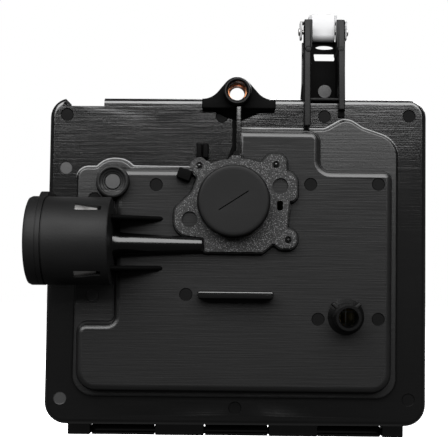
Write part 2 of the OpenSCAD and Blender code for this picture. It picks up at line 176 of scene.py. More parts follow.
def fillet(before, corner, after):
    p, r = np.array(corner[:2], float), corner[2]
    u, v = unit(np.array(before[:2]) - p), unit(np.array(after[:2]) - p)
    half = math.acos(max(-1, min(1, float(u @ v)))) / 2
    mid = p + unit(u + v) * r / math.sin(half)
    reach = r / math.tan(half)
    start, end = p + u * reach - mid, p + v * reach - mid
    a0 = math.atan2(start[1], start[0])
    sweep = (math.atan2(end[1], end[0]) - a0 + math.pi) % (2 * math.pi) - math.pi
    angles = a0 + sweep * np.arange(ARC_STEPS + 1) / ARC_STEPS
    return mid + r * np.stack([np.cos(angles), np.sin(angles)], 1)


def outline(corners):
    """Points of a closed outline whose corners are filleted."""
    n = len(corners)
    return np.concatenate([fillet(corners[i - 1], corners[i], corners[(i + 1) % n]) for i in range(n)])


def inset(corners, t):
    """The same corners moved inwards by t, or outwards where t is negative."""
    n, moved = len(corners), []
    for i in range(n):
        p = np.array(corners[i][:2], float)
        d0 = unit(p - np.array(corners[i - 1][:2]))
        d1 = unit(np.array(corners[(i + 1) % n][:2]) - p)
        n0, n1 = np.array([-d0[1], d0[0]]), np.array([-d1[1], d1[0]])
        q = p + (n0 + n1) * t / (1 + n0 @ n1)
        grow = -t if d0[0] * d1[1] - d0[1] * d1[0] > 0 else t
        moved.append((q[0], q[1], max(0.2, corners[i][2] + grow)))
    return moved


def block(x0, x1, z0, z1, r):
    """The corners of a rectangle."""
    return [(x0, z0, r), (x1, z0, r), (x1, z1, r), (x0, z1, r)]


def circle(mid, r, steps=48):
    angles = 2 * math.pi * np.arange(steps) / steps
    return np.array(mid) + r * np.stack([np.cos(angles), np.sin(angles)], 1)


def signed_distance(points, loop):
    """Distance from each point to a closed loop, positive inside it."""
    a, b = loop, np.roll(loop, -1, 0)
    ab = b - a
    best = np.full(len(points), 1e9)
    inside = np.zeros(len(points), bool)
    for p, q, d in zip(a, b, ab):
        length = d @ d
        if length < 1e-12:
            continue
        t = np.clip(((points - p) @ d) / length, 0, 1)
        best = np.minimum(best, np.linalg.norm(points - (p + t[:, None] * d), axis=1))
        crosses = (p[1] > points[:, 1]) != (q[1] > points[:, 1])
        with np.errstate(divide="ignore", invalid="ignore"):
            at = p[0] + (points[:, 1] - p[1]) * d[0] / d[1]
        inside ^= crosses & (points[:, 0] < at)
    return np.where(inside, best, -best)


def depth(points, corners, t):
    """How far each point is inside the outline that lies t inside those corners."""
    return signed_distance(points, outline(inset(corners, t)))


def level(corners, t, y):
    """That outline as a loop at one place along Y."""
    return [(x, y, z) for x, z in outline(inset(corners, t))]


def ramp(t, round_share=0.3):
    """0 to 1 with a straight middle and rounded ends."""
    t = np.clip(t, 0, 1)
    m = 1 / (1 - round_share)
    low = m * t * t / (2 * round_share)
    high = 1 - m * (1 - t) ** 2 / (2 * round_share)
    return np.where(t < round_share, low, np.where(t > 1 - round_share, high, m * (t - round_share / 2)))


# -------------------- meshes
PLANES = {"xz": lambda u, v, h: (u, h, v), "yz": lambda u, v, h: (h, u, v), "xy": lambda u, v, h: (u, v, h)}


class Mesh:
    """Gathers closed shells in millimetres, then makes one object of them in metres."""

    def __init__(self):
        self.points, self.faces, self.slots = [], [], []

    def add(self, points, faces, slot=0):
        base = len(self.points)
        self.points += [tuple(float(c) for c in p) for p in points]
        self.faces += [[base + i for i in f] for f in faces]
        self.slots += [slot] * len(faces)
        return base

    def loft(self, loops, slot=0, close=False):
        """Joins loops of equally many points, and caps both ends or joins the last to the first."""
        n, faces = len(loops[0]), []
        rows = len(loops) if close else len(loops) - 1
        for r in range(rows):
            a, b = r * n, ((r + 1) % len(loops)) * n
            faces += [[a + i, a + (i + 1) % n, b + (i + 1) % n, b + i] for i in range(n)]
        if not close:
            last = (len(loops) - 1) * n
            faces += [list(range(n))[::-1], [last + i for i in range(n)]]
        self.add([p for loop in loops for p in loop], faces, slot)
        return self

    def slab(self, corners, levels, plane="xz", slot=0):
        """A moulded slab: each level is (height, inset) of the corner list."""
        place = PLANES[plane]
        loops = [[place(u, v, h) for u, v in outline(inset(corners, t))] for h, t in levels]
        return self.loft(loops, slot)

    def box(self, lo, hi, r=0.4, plane="xz", slot=0):
        """A box with rounded edges."""
        a, b, h = {"xz": (0, 2, 1), "yz": (1, 2, 0), "xy": (0, 1, 2)}[plane]
        corner_r = min(r * 1.6, (hi[a] - lo[a]) / 2.1, (hi[b] - lo[b]) / 2.1)
        corners = block(lo[a], hi[a], lo[b], hi[b], corner_r)
        return self.slab(corners, rounded(lo[h], hi[h], r, r), plane, slot)

    def turn(self, profile, centre, axis, steps=72, slot=0):
        """Turns a profile of (radius, place along the axis) round the X or Y axis through centre."""
        place = PLANES["yz" if axis == "x" else "xz"]
        loops = []
        for k in range(steps):
            a = 2 * math.pi * k / steps
            c, s = math.cos(a), math.sin(a)
            loops.append([place(centre[0] + r * c, centre[1] + r * s, h) for r, h in profile])
        return self.loft(loops, slot, close=True)

    def build(self, name, materials, sharp=SHARP):
        """Makes the object, whose slots number the materials."""
        mesh = bpy.data.meshes.new(name)
        mesh.from_pydata([[c * MM for c in p] for p in self.points], [], self.faces)
        mesh.polygons.foreach_set("material_index", self.slots)
        bm = bmesh.new()
        bm.from_mesh(mesh)
        bmesh.ops.remove_doubles(bm, verts=bm.verts, dist=1e-6)
        bmesh.ops.dissolve_degenerate(bm, edges=bm.edges, dist=1e-6)
        bmesh.ops.recalc_face_normals(bm, faces=bm.faces)
        bm.to_mesh(mesh)
        bm.free()
        obj = bpy.data.objects.new(name, mesh)
        SCENE.collection.objects.link(obj)
        for m in materials if isinstance(materials, (list, tuple)) else [materials]:
            mesh.materials.append(m)
        smooth(obj, sharp)
        return obj


def smooth(obj, sharp=SHARP):
    obj.data.shade_smooth()
    obj.data.set_sharp_from_angle(angle=math.radians(sharp))


def rounded(h0, h1, r0=0.5, r1=0.5, draft=0.0):
    """Levels from h0 to h1 with rounded edges, wider by draft at h1."""
    angles = [math.pi / 2 * k / EDGE_STEPS for k in range(EDGE_STEPS + 1)]
    first, last = [(h0, 0.0)], [(h1, -draft)]
    if r0:
        first = [(h0 + r0 * (1 - math.cos(a)), r0 * (1 - math.sin(a))) for a in angles]
    if r1:
        last = [(h1 - r1 * (1 - math.sin(a)), r1 * (1 - math.cos(a)) - draft) for a in angles]
    return first + last


def cut(obj, cutters, sharp=SHARP):
    """Takes the cutters out of obj, and removes them."""
    for cutter in cutters:
        mod = obj.modifiers.new("cut", "BOOLEAN")
        mod.operation, mod.solver, mod.object = "DIFFERENCE", "EXACT", cutter
        mod.use_self = False
    applied(obj)
    for cutter in cutters:
        bpy.data.objects.remove(cutter)
    smooth(obj, sharp)
    return obj


def applied(obj):
    """Makes the result of obj's modifiers its mesh."""
    depsgraph = bpy.context.evaluated_depsgraph_get()
    mesh = bpy.data.meshes.new_from_object(obj.evaluated_get(depsgraph))
    obj.modifiers.clear()
    old, obj.data = obj.data, mesh
    mesh.name = old.name
    bpy.data.meshes.remove(old)


def joined(name, objs):
    """One object of several that share their material slots."""
    bm = bmesh.new()
    for o in objs:
        bm.from_mesh(o.data)
    mesh = bpy.data.meshes.new(name)
    bm.to_mesh(mesh)
    bm.free()
    for m in objs[0].data.materials:
        mesh.materials.append(m)
    obj = bpy.data.objects.new(name, mesh)
    SCENE.collection.objects.link(obj)
    for o in objs:
        bpy.data.objects.remove(o)
    smooth(obj)
    return obj


def drill(centre, radius, y0, y1, steps=48, material=None):
    """A round cutter along Y."""
    near_axis = 0.001
    rod = Mesh().turn([(near_axis, y0), (radius, y0), (radius, y1), (near_axis, y1)], centre, "y", steps)
    return rod.build("drill", material or BLACK)


def place(obj, body, slot, *nodes):
    """obj rides on that body in place of those CAD nodes."""
    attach(obj, body)
    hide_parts(*nodes)
    return obj


# -------------------- materials
class Nodes:
    """A small builder for one material's node tree."""

    def __init__(self, name):
        self.material = bpy.data.materials.new(name)
        self.material.use_nodes = True
        self.tree = self.material.node_tree
        self.tree.nodes.clear()
        self.shader = self.node("ShaderNodeBsdfPrincipled")
        out = self.node("ShaderNodeOutputMaterial")
        self.link(self.shader.outputs[0], out.inputs[0])
        self.coords = self.node("ShaderNodeTexCoord").outputs["Object"]

    def node(self, kind, **settings):
        n = self.tree.nodes.new(kind)
        for key, value in settings.items():
            setattr(n, key, value)
        return n

    def link(self, a, b):
        self.tree.links.new(a, b)

    def set(self, **values):
        for key, value in values.items():
            self.shader.inputs[key.replace("_", " ")].default_value = value

    def noise(self, scale, stretch=(1, 1, 1), detail=3.0, rough=0.5):
        mapping = self.node("ShaderNodeMapping")
        mapping.inputs["Scale"].default_value = stretch
        self.link(self.coords, mapping.inputs["Vector"])
        noise = self.node("ShaderNodeTexNoise")
        noise.inputs["Scale"].default_value = scale
        noise.inputs["Detail"].default_value = detail
        noise.inputs["Roughness"].default_value = rough
        self.link(mapping.outputs[0], noise.inputs["Vector"])
        return noise.outputs["Fac"]

    def voronoi(self, scale):
        n = self.node("ShaderNodeTexVoronoi")
        n.inputs["Scale"].default_value = scale
        self.link(self.coords, n.inputs["Vector"])
        return n.outputs["Distance"]

    def band(self, value, low, high, out_low, out_high):
        """value, stretched so that low to high becomes out_low to out_high."""
        n = self.node("ShaderNodeMapRange")
        for i, v in enumerate((low, high, out_low, out_high)):
            n.inputs[i + 1].default_value = v
        self.link(value, n.inputs[0])
        return n.outputs[0]

    def math(self, operation, a, b):
        n = self.node("ShaderNodeMath", operation=operation)
        for i, v in enumerate((a, b)):
            if isinstance(v, (int, float)):
                n.inputs[i].default_value = v
            else:
                self.link(v, n.inputs[i])
        return n.outputs[0]

    def blend_colours(self, factor, a, b):
        n = self.node("ShaderNodeMix", data_type="RGBA")
        self.link(factor, n.inputs[0])
        for socket, colour in ((n.inputs[6], a), (n.inputs[7], b)):
            if isinstance(colour, tuple):
                socket.default_value = (*colour, 1)
            else:
                self.link(colour, socket)
        return n.outputs[2]

    def colour(self, value):
        self.link(value, self.shader.inputs["Base Color"])

    def rough(self, value):
        self.link(value, self.shader.inputs["Roughness"])

    def bump(self, height, strength, distance):
        """Adds a bump on top of any that is there."""
        n = self.node("ShaderNodeBump")
        n.inputs["Strength"].default_value = strength
        n.inputs["Distance"].default_value = distance
        self.link(height, n.inputs["Height"])
        if self.shader.inputs["Normal"].links:
            self.link(self.shader.inputs["Normal"].links[0].from_socket, n.inputs["Normal"])
        self.link(n.outputs[0], self.shader.inputs["Normal"])


def grey(v):
    """A grey that is faintly cool."""
    return (v, v, v * 1.01)


def moulded_plastic(name, shade, rough, streak=0.5, grain=0.25, gloss=0.5, vary=0.07, spread=0.14):
    """Black plastic with fine horizontal brushing, cloudy flow marks and scattered scuffs."""
    m = Nodes(name)
    streaks = m.noise(60, (0.7, 1, 30), 3, 0.6)
    clouds = m.noise(22, (1, 1, 1.6), 3, 0.55)
    mixed = m.math("ADD", m.math("MULTIPLY", streaks, streak), m.math("MULTIPLY", clouds, 1 - streak))
    low, high = 0.5 - spread, 0.5 + spread
    m.colour(m.blend_colours(m.band(mixed, low, high, 0, 1), grey(shade * 0.6), grey(shade * 1.45)))
    m.rough(m.band(mixed, low, high, rough + vary, rough - vary))
    m.bump(streaks, 0.4 * streak, 0.0002)
    m.bump(m.noise(1400, (1, 1, 1), 2, 0.5), grain, 0.00006)
    m.set(Specular_IOR_Level=gloss)
    return m.material


def textured_plastic(name, shade, rough):
    """Spark-eroded black plastic."""
    m = Nodes(name)
    m.colour(m.blend_colours(m.noise(18, (1, 1, 1), 3), grey(shade * 0.8), grey(shade * 1.25)))
    m.rough(m.band(m.noise(90), 0.3, 0.7, rough - 0.06, rough + 0.06))
    m.bump(m.noise(1700, (1, 1, 1), 2), 0.5, 0.0001)
    return m.material


def fibre():
    """Dark gasket sheet with pale specks."""
    m = Nodes("gasket_fibre")
    speck, grains = m.noise(1500, (1, 1, 1), 2, 0.8), m.voronoi(1900)
    base = m.blend_colours(m.band(speck, 0.4, 0.6, 0, 1), grey(0.001), grey(0.018))
    m.colour(m.blend_colours(m.band(grains, 0.16, 0.34, 1, 0), base, grey(0.15)))
    m.set(Roughness=0.85)
    m.bump(speck, 0.5, 0.0002)
    return m.material


def metal(name, colour, rough, scratch=(1, 1, 1), wear=0.12, metallic=1.0):
    m = Nodes(name)
    lines = m.noise(240, scratch, 4, 0.6)
    dull = tuple(c * (1 - wear) for c in colour)
    m.colour(m.blend_colours(m.band(m.noise(70), 0.35, 0.65, 0, 1), dull, colour))
    m.rough(m.band(lines, 0.3, 0.7, rough - 0.06, rough + 0.1))
    m.bump(lines, 0.12, 0.00008)
    m.set(Metallic=metallic)
    return m.material


def rubber(name, colour, rough, glow=0.0):
    m = Nodes(name)
    m.colour(m.blend_colours(m.noise(30), tuple(c * 0.8 for c in colour), colour))
    m.rough(m.band(m.noise(160), 0.3, 0.7, rough - 0.05, rough + 0.08))
    m.bump(m.noise(900), 0.15, 0.00008)
    m.set(Subsurface_Weight=glow, Subsurface_Scale=0.003)
    return m.material


def paper():
    m = Nodes("filter_paper")
    m.colour(m.blend_colours(m.noise(420, (1, 1, 1), 5), (0.62, 0.53, 0.33), (0.86, 0.78, 0.56)))
    m.set(Roughness=0.9)
    m.bump(m.noise(1300, (1, 1, 1), 3), 0.4, 0.0001)
    return m.material


def foam_cells():
    m = Nodes("foam_cells")
    cells = m.voronoi(620)
    m.colour(m.blend_colours(m.band(cells, 0.1, 0.55, 0, 1), grey(0.015), grey(0.10)))
    m.set(Roughness=0.95)
    m.bump(cells, 0.9, 0.0005)
    return m.material


BLACK = moulded_plastic("flange_black", 0.0015, 0.175, streak=0.5, gloss=0.8, vary=0.02, spread=0.1)
BRUSHED = moulded_plastic("brushed_black", 0.0068, 0.48, streak=0.95, gloss=0.18, vary=0.13, spread=0.06)
LEDGE = moulded_plastic("ledge_black", 0.005, 0.33, streak=0.6, gloss=0.5, vary=0.04, spread=0.1)
SATIN = moulded_plastic("satin_black", 0.003, 0.38, streak=0.15, gloss=0.13)
MATT = moulded_plastic("matt_black", 0.006, 0.48, streak=0.1, grain=0.6, gloss=0.14)
MOULDED = moulded_plastic("ear_black", 0.002, 0.36, streak=0.1, gloss=0.2)
PASSAGE = moulded_plastic("passage_black", 0.001, 0.2, streak=0.1, grain=0.1, gloss=0.5, vary=0.03)
# Painted shade: a darker, nearly unglossed copy of the black plastic, put on fins, stops, the tower's web
# and flanks, the ear plate and dark strips where shade falls
PAINTED_SHADE = moulded_plastic("deep_black", 0.001, 0.6, streak=0.1, gloss=0.04)
MARK_DARK = moulded_plastic("ejector_mark_dark", 0.0015, 0.55, streak=0.1, gloss=0.08)
MARK_LIGHT = moulded_plastic("ejector_mark_light", 0.016, 0.42, streak=0.1, gloss=0.6)
TRAY = [BLACK, MARK_DARK, MARK_LIGHT, BRUSHED, LEDGE, PAINTED_SHADE]
ON_DARK, ON_LIGHT, ON_BRUSHED, ON_LEDGE, ON_PAINTED_SHADE = range(1, len(TRAY))
COVER = textured_plastic("cover_black", 0.012, 0.5)
CAP = moulded_plastic("cap_black", 0.0045, 0.5, streak=0.2, gloss=0.14, vary=0.04)
FIBRE = fibre()
STEEL = metal("clip_steel", (0.40, 0.40, 0.405), 0.5, (1, 1, 8), 0.05, 0.1)
ZINC = metal("zinc_steel", (0.56, 0.55, 0.54), 0.38)
COPPER = metal("bush_copper", (0.46, 0.20, 0.10), 0.32, (1, 8, 1), 0.35)
RED = rubber("bulb_rubber", (0.42, 0.02, 0.025), 0.35, 0.3)
URETHANE = rubber("filter_urethane", (0.66, 0.24, 0.07), 0.55)
PAPER = paper()
WIRE = metal("filter_wire", (0.7, 0.7, 0.7), 0.35)
FOAM = foam_cells()


# -------------------- base tray
# Each wall is a list of (distance inside its outline, share of its rise)
LOW_WALL = ((-0.3, 0), (-0.05, 0.06), (0.15, 0.3), (0.5, 0.8), (0.75, 0.95), (1.0, 1))
HIGH_WALL = ((-0.4, 0), (-0.1, 0.05), (0.2, 0.3), (0.7, 0.75),
    (0.95, 0.87), (1.2, 0.915), (2.3, 0.985), (2.7, 1))
PAD_WALL = (-0.1, 0.5)
PAD_MARGIN = 1.0


def tray_height(points, thickness):
    """How far along Y the tray's face is at each point: thickness is 0 for the outer face."""
    steps = ((LOW, LOW_WALL, FLANGE_Y - LOW_Y), (HIGH, HIGH_WALL, LOW_Y - HIGH_Y))
    y = np.full(len(points), FLANGE_Y + thickness)
    for corners, wall, rise in steps:
        d = depth(points, corners, thickness)
        y -= rise * np.interp(d, *zip(*wall))
    if thickness:
        return y
    d = depth(points, GASKET, -PAD_MARGIN)
    y -= (HIGH_Y - PAD_Y) * ramp((d - PAD_WALL[0]) / (PAD_WALL[1] - PAD_WALL[0]))
    for mark in DARK_MARKS + LIGHT_MARKS:
        away = np.linalg.norm(points - np.array(mark), axis=1)
        y += MARK_EDGE * ramp((MARK_R - away) / MARK_EDGE)
    # a shallow sink wave everywhere but under the gasket
    wave = np.sin(points[:, 0] * 0.13 + 1.0) * np.cos(points[:, 1] * 0.11)
    y += 0.05 * wave * (depth(points, GASKET, -3) < 0)
    return y


def tray_contours(boundary, thickness):
    """The closed lines along which the tray's face bends."""
    loops = [boundary]
    beyond = 0.35
    for corners, wall in ((LOW, LOW_WALL), (HIGH, HIGH_WALL)):
        for d in (wall[0][0] - beyond, *(d for d, _ in wall), wall[-1][0] + beyond):
            loops.append(outline(inset(corners, thickness + d)))
    loops.append(outline(inset(RIM, 3.0 if not thickness else WALL + 1.6)))
    if not thickness:
        for t in (-0.1, 0.1, 0.3, 0.5):
            loops.append(outline(inset(GASKET, t - PAD_MARGIN)))
        for mark in DARK_MARKS + LIGHT_MARKS:
            loops += [circle(mark, MARK_R, 32), circle(mark, MARK_R - MARK_EDGE, 32)]
    return loops


def tray_slots(centres):
    """Which of the tray's materials is at each place on its outer face."""
    slots = np.zeros(len(centres), int)
    slots[depth(centres, LOW, 0.9) > 0] = ON_LEDGE
    slots[depth(centres, HIGH, 2.6) > 0] = ON_BRUSHED
    for slot, marks in ((ON_DARK, DARK_MARKS), (ON_LIGHT, LIGHT_MARKS)):
        for mark in marks:
            slots[np.linalg.norm(centres - np.array(mark), axis=1) < MARK_R - 0.05] = slot
    return slots


def tray_face(boundary, thickness):
    """The tray's face as triangles between contour lines, with its holes left open."""
    loops = tray_contours(boundary, thickness)
    holes = [circle((0, 0), THROAT_R + 0.1, 72), circle(SPIGOT, SPIGOT_BORE_R)]
    grid = [(x, z) for x in np.arange(-70, 75, 5.0) for z in np.arange(-85, 39, 5.0)]
    coords, edges, starts = [], [], []
    for loop in loops + holes:
        starts.append(len(coords))
        n = len(loop)
        coords += [Vector((float(p[0]), float(p[1]))) for p in loop]
        edges += [(starts[-1] + i, starts[-1] + (i + 1) % n) for i in range(n)]
    coords += [Vector(p) for p in grid]
    verts, _, faces, origin, _, _ = delaunay_2d_cdt(coords, edges, [], 1, 1e-5)
    points = np.array([tuple(v) for v in verts])
    where = {source: i for i, sources in enumerate(origin) for source in sources}
    centres = np.array([points[list(f)].mean(0) for f in faces])
    keep = np.ones(len(faces), bool)
    rims = []
    for loop, start in zip(holes, starts[len(loops):]):
        keep &= signed_distance(centres, loop) < 0
        rims.append([where[start + i] for i in range(len(loop))])
    slots = np.zeros(len(faces), int) if thickness else tray_slots(centres)
    solid = [(p[0], h, p[1]) for p, h in zip(points, tray_height(points, thickness))]
    border = [where[i] for i in range(len(boundary))]
    return solid, [list(f) for f, k in zip(faces, keep) if k], slots[keep], border, rims


def tray_shell():
    """The outer and inner faces, joined by the rim's walls and through the holes."""
    m = Mesh()
    outer = tray_face(outline(inset(RIM, 2.3)), 0.0)
    inner = tray_face(outline(inset(RIM, WALL + 1.0)), WALL)
    bases = []
    for points, faces, slots, _, _ in (outer, inner):
        bases.append(m.add(points, faces))
        m.slots[-len(faces):] = [int(s) for s in slots]
    corner = [(0.04, 2.0), (0.14, 1.75), (0.32, 1.35), (0.42, 1.18), (0.6, 1.05), (1.1, 0.75),
        (1.6, 0.4), (2.0, 0.15), (2.6, 0.0)]
    lip = [(-0.6, 0.0), (-0.1, 0.3), (0, 0.7), (0, WALL - 0.7), (-0.3, WALL - 0.2), (-0.9, WALL)]
    inner_corner = [(WALL + 1, WALL), (WALL + 0.3, WALL + 0.3)]
    profile = [(FLANGE_Y + h, t) for h, t in corner] + [(RIM_FRONT_Y + h, t) for h, t in lip]
    profile += [(FLANGE_Y + h, t) for h, t in inner_corner]
    rings = []
    for y, t in profile:
        points = level(RIM, t, y)
        rings.append([m.add(points, []) + i for i in range(len(points))])
    chain = [[bases[0] + i for i in outer[3]], *rings, [bases[1] + i for i in inner[3]]]
    joins = list(zip(chain, chain[1:]))
    joins += [([bases[0] + i for i in a], [bases[1] + i for i in b]) for a, b in zip(outer[4], inner[4])]
    for a, b in joins:
        n = len(a)
        m.faces += [[a[i], a[(i + 1) % n], b[(i + 1) % n], b[i]] for i in range(n)]
        m.slots += [0] * n
    return m.build("base_tray_shell", TRAY)


def tray_cutters():
    """The notch in the top edge, the recess under the ear, and the slot beside the throat."""
    left, right, floor, top = -69.0, -52.5, 38.6, 46
    notch = Mesh()
    notch.slab([(left, floor, 0.1), (right, floor, 0.2), (right, top, 0.2), (left + 0.7, top, 0.2),
        (left + 0.7, floor + 1.7, 0.2), (left, floor + 1.3, 0.2)], [(FLANGE_Y - 2, 0), (RIM_FRONT_Y + 2, 0)])
    slot_hole = Mesh().box((SLOT_X[0], -1, SLOT_Z[0]), (SLOT_X[1], 8, SLOT_Z[1]), 0.3)
    return [notch.build("notch", BLACK), drill(EAR, 3.7, 9, 33), slot_hole.build("slot_hole", BLACK)]


def dowel_cup(m):
    m.turn([(ON_AXIS, 1.9), (3.1, 1.9), (3.3, 1.5), (3.9, 1.4), (4.1, 0.9), (4.9, 0.75), (5.1, 0.55),
        (5.2, 0.1), (5.5, 0), (5.9, 0.05), (6.3, 0.4), (6.4, 1), (6.6, 6), (7.2, 8.2), (7.6, 9.4),
        (ON_AXIS, 9.4)], DOWEL_CUP, "y", slot=ON_BRUSHED)
    m.turn([(ON_AXIS, 1.3), (2.8, 1.32), (3.0, 1.5), (3.0, 2), (ON_AXIS, 2)], DOWEL_CUP, "y", 48,
        slot=ON_LIGHT)


def outer_ribs(m):
    """The bar rib, the rib under the ear, the twin stop left of it and the tilted stop."""
    on_plateau, on_flange = HIGH_Y + SINK, FLANGE_Y + SINK
    m.slab(block(-13.6, 15.7, -37.8, -35.1, 0.8), rounded(-3, on_plateau, 0.5, 0, 0.25))
    m.slab(block(0.7, 2.8, 17.0, 38, 0.5), rounded(4, on_flange, 0.5, 0, 0.15))
    # The twin stop's prongs and the block between them are painted shade
    for left in (-14.9, -12.3):
        m.slab(block(left, left + 2.1, 17.4, 23.2, 0.4), rounded(4, on_flange, 0.4, 0, 0.1), slot=ON_PAINTED_SHADE)
    m.slab(block(-13.2, -11.8, 17.6, 23.0, 0.4), rounded(6, on_flange, 0.3, 0, 0.1), slot=ON_PAINTED_SHADE)
    tilt = math.radians(20)
    c, s = math.cos(tilt), math.sin(tilt)
    stop = [(-19.3 + u * c + v * s, 10.4 - u * s + v * c, 0.5)
        for u, v in ((-2.8, -2.1), (2.6, -2.1), (2.6, 2.1), (-2.8, 2.1))]
    # The tilted stop is painted shade too
    m.slab(stop, rounded(-1, on_plateau, 0.4, 0, 0.15), slot=ON_PAINTED_SHADE)


def painted_shade_strips(m):
    """Dark strips of painted shade: one beside the ear's rib, and a block under the tower's right rail."""
    shade_band = [(-2.9, 17.3, 0.4), (-1.3, 17.0, 0.4), (0.72, 22, 2), (0.72, 38, 0.2),
        (-0.75, 38, 0.2), (-0.75, 23, 3)]
    m.slab(shade_band, rounded(FLANGE_Y - 0.25, FLANGE_Y + SINK, 0.15, 0), slot=ON_PAINTED_SHADE)
    foot = block(TOWER_X + 5.6, TOWER_X + 8.2, 35.0, 38.2, 0.3)
    m.slab(foot, rounded(FLANGE_Y - 1.2, FLANGE_Y + SINK, 0.2, 0), slot=ON_PAINTED_SHADE)


def gasket_pins(m):
    pin = [(ON_AXIS, -0.6), (0.45, -0.55), (0.8, -0.2), (0.9, 0.2), (0.9, 1.2), (ON_AXIS, 1.2)]
    for at in GASKET_PINS:
        m.turn(pin, at, "y", 32)


def inner_ribs(m):
    """The ribs round the filter, and the ribs that run back from the plateau to the filter's seat."""
    gap, rib_t = 0.3, 1.5
    (x0, x1), (z0, z1) = FILTER_X, FILTER_Z
    for lo, hi in (((x0 - gap - rib_t, z0), (x0 - gap, z1)), ((x1 + gap, z0), (x1 + gap + rib_t, z1)),
            ((x0, z0 - gap - rib_t), (x1, z0 - gap)), ((x0, z1 + gap), (x1, z1 + gap + rib_t))):
        m.box((lo[0], SEAT_Y - 0.3, lo[1]), (hi[0], SEAT_Y + 4, hi[1]), 0.3)
    back, front = HIGH_Y + WALL - 0.2, SEAT_Y - 0.5
    for x in (-30, 32):
        m.box((x - 0.8, back, -72), (x + 0.8, front, 10), 0.3)
    m.box((-58, back, -54.8), (58, front, -53.2), 0.3)


def base_tray():
    tray = cut(tray_shell(), tray_cutters())
    details = Mesh()
    for part in (dowel_cup, outer_ribs, painted_shade_strips, gasket_pins, inner_ribs):
        part(details)
    return joined("base_tray", [tray, details.build("base_details", TRAY)])


# -------------------- parts moulded with the tray
def ear():
    """The mounting plate with its raised ring, and the gusset that runs down to the flange."""
    materials, deep = [MOULDED, PAINTED_SHADE], 1
    m = Mesh()
    x, z = EAR
    plate = [(-13, 37.5, 0.6), (16.5, 37.5, 0.6), (16.5, 41.3, 0.6), (x + 10.8, 41.3, 8),
        (x + 2.8, z + 6.3, 6.2), (x - 2.8, z + 6.3, 6.2), (x - 10.2, 41.5, 8), (-13, 41.5, 0.6)]
    # The plate and its gusset are painted shade, darker than the ring
    m.slab(plate, rounded(8, FLANGE_Y + 0.4, 0.6, 0), slot=deep)
    gusset = []
    for u in np.linspace(-12.8, 16.3, 25):
        foot = 37.2 - 4.5 * math.exp(-((u - 1.7) / 7) ** 2)
        gusset.append([(u, 8.6, 39), (u, 8.4, 37.9), (u, 9.2, 37.1), (u, 12.3, foot), (u, 12.3, 39)])
    m.loft(gusset, slot=deep)
    drilled = cut(m.build("ear_plate", materials), [drill(EAR, 4.5, 0, 20, 72, SATIN)])
    ring = Mesh()
    ring.turn([(3.8, 8.7), (3.8, 4.0), (4.0, 3.5), (4.5, 3.1), (5.0, 3.1), (5.4, 3.6), (5.6, 4.4),
        (5.8, FLANGE_Y), (4.2, FLANGE_Y), (4.2, 8.7)], EAR, "y")
    return joined("ear", [drilled, ring.build("ear_ring", materials)])


def bush():
    m = Mesh()
    m.turn([(3.0, 9.5), (3.2, 9.1), (3.9, 9.0), (4.15, 9.3), (4.15, FLANGE_Y), (3.55, FLANGE_Y),
        (3.55, 15.6), (3.4, 15.9), (3.1, 15.9), (3.0, 15.6)], EAR, "y")
    return m.build("bush", COPPER, 50)


def tower():
    """Two rails with wider heads, and a web behind them with a window and a crescent through it."""
    materials, light, deep = [SATIN, MARK_LIGHT, PAINTED_SHADE], 1, 2
    m = Mesh()
    inner, outer, head_inner = 5.6, 8.15, 4.9
    web_half, web_top, web_front, top = 6.1, 68, PIVOT_Y + 2.5, PIVOT_Z + 3.2
    for side, foot, flank in ((-1, 31.1, 7.7), (1, 37.7, 8.6)):
        rail = sorted((TOWER_X + side * inner, TOWER_X + side * outer))
        head = sorted((TOWER_X + side * head_inner, TOWER_X + side * outer))
        back = sorted((TOWER_X + side * inner, TOWER_X + side * flank))
        m.slab([(8.5, foot, 0.4), (12.2, foot, 0.1), (12.2, 41, 0.1), (15.5, 41, 0.1), (15.5, top, 0.6),
            (12.0, top, 0.6)], rounded(*rail, 0.5, 0.5), "yz")
        m.slab([(11.4, 62.5, 1.0), (15.5, 62.5, 0.3), (15.5, top, 0.6), (12.0, top, 0.6)],
            rounded(*head, 0.35, 0.35), "yz")
        # The flanks behind the rails are painted shade
        m.slab([(14, 40.5, 0.3), (web_front, 40.5, 0.3), (web_front, top, 1.6), (14, top, 0.6)],
            rounded(*back, 0.4, 0.4), "yz", slot=deep)
        boss = [(ON_AXIS, 10.7), (1.0, 10.75), (1.5, 11.2), (1.6, web_front), (ON_AXIS, web_front)]
        m.turn(boss, (TOWER_X + side * 6.6, 62.4), "y", 40)
    m.box((TOWER_X - web_half, 10.2, 41.5), (TOWER_X + web_half, 22.8, 42.6), 0.3)
    mark = [(ON_AXIS, 22.4), (2.7, 22.42), (2.8, 22.6), (ON_AXIS, 22.6)]
    m.turn(mark, (TOWER_X + 1.2, 47.2), "y", 40, slot=light)
    rails = m.build("tower_rails", materials)
    # The web is painted shade
    web = Mesh()
    web.slab([(TOWER_X - web_half, 41, 0.2), (TOWER_X + web_half, 41, 0.2),
        (TOWER_X + web_half, web_top, 1), (TOWER_X - web_half, web_top, 1)],
        rounded(web_front - WALL, web_front, 0.3, 0.3), slot=deep)
    mid, through = TOWER_X + 1.0, (15.0, 30.0)
    window = Mesh()
    window.slab([(mid - 4.1, 59.9, 0.5), (mid + 4.1, 59.9, 0.5), (mid + 4.5, 63.0, 0.5),
        (mid - 4.5, 63.0, 0.5)], [(y, 0) for y in through])
    lens = [(mid + 3.75 * math.cos(a), 65.4 + (1.1 if math.sin(a) > 0 else 0.8) * math.sin(a))
        for a in np.radians(np.arange(0, 360, 10))]
    crescent = Mesh().loft([[(x, y, z) for x, z in lens] for y in through])
    pierced = cut(web.build("tower_web", materials),
        [window.build("window", BLACK), crescent.build("crescent", BLACK)])
    return joined("tower", [rails, pierced])


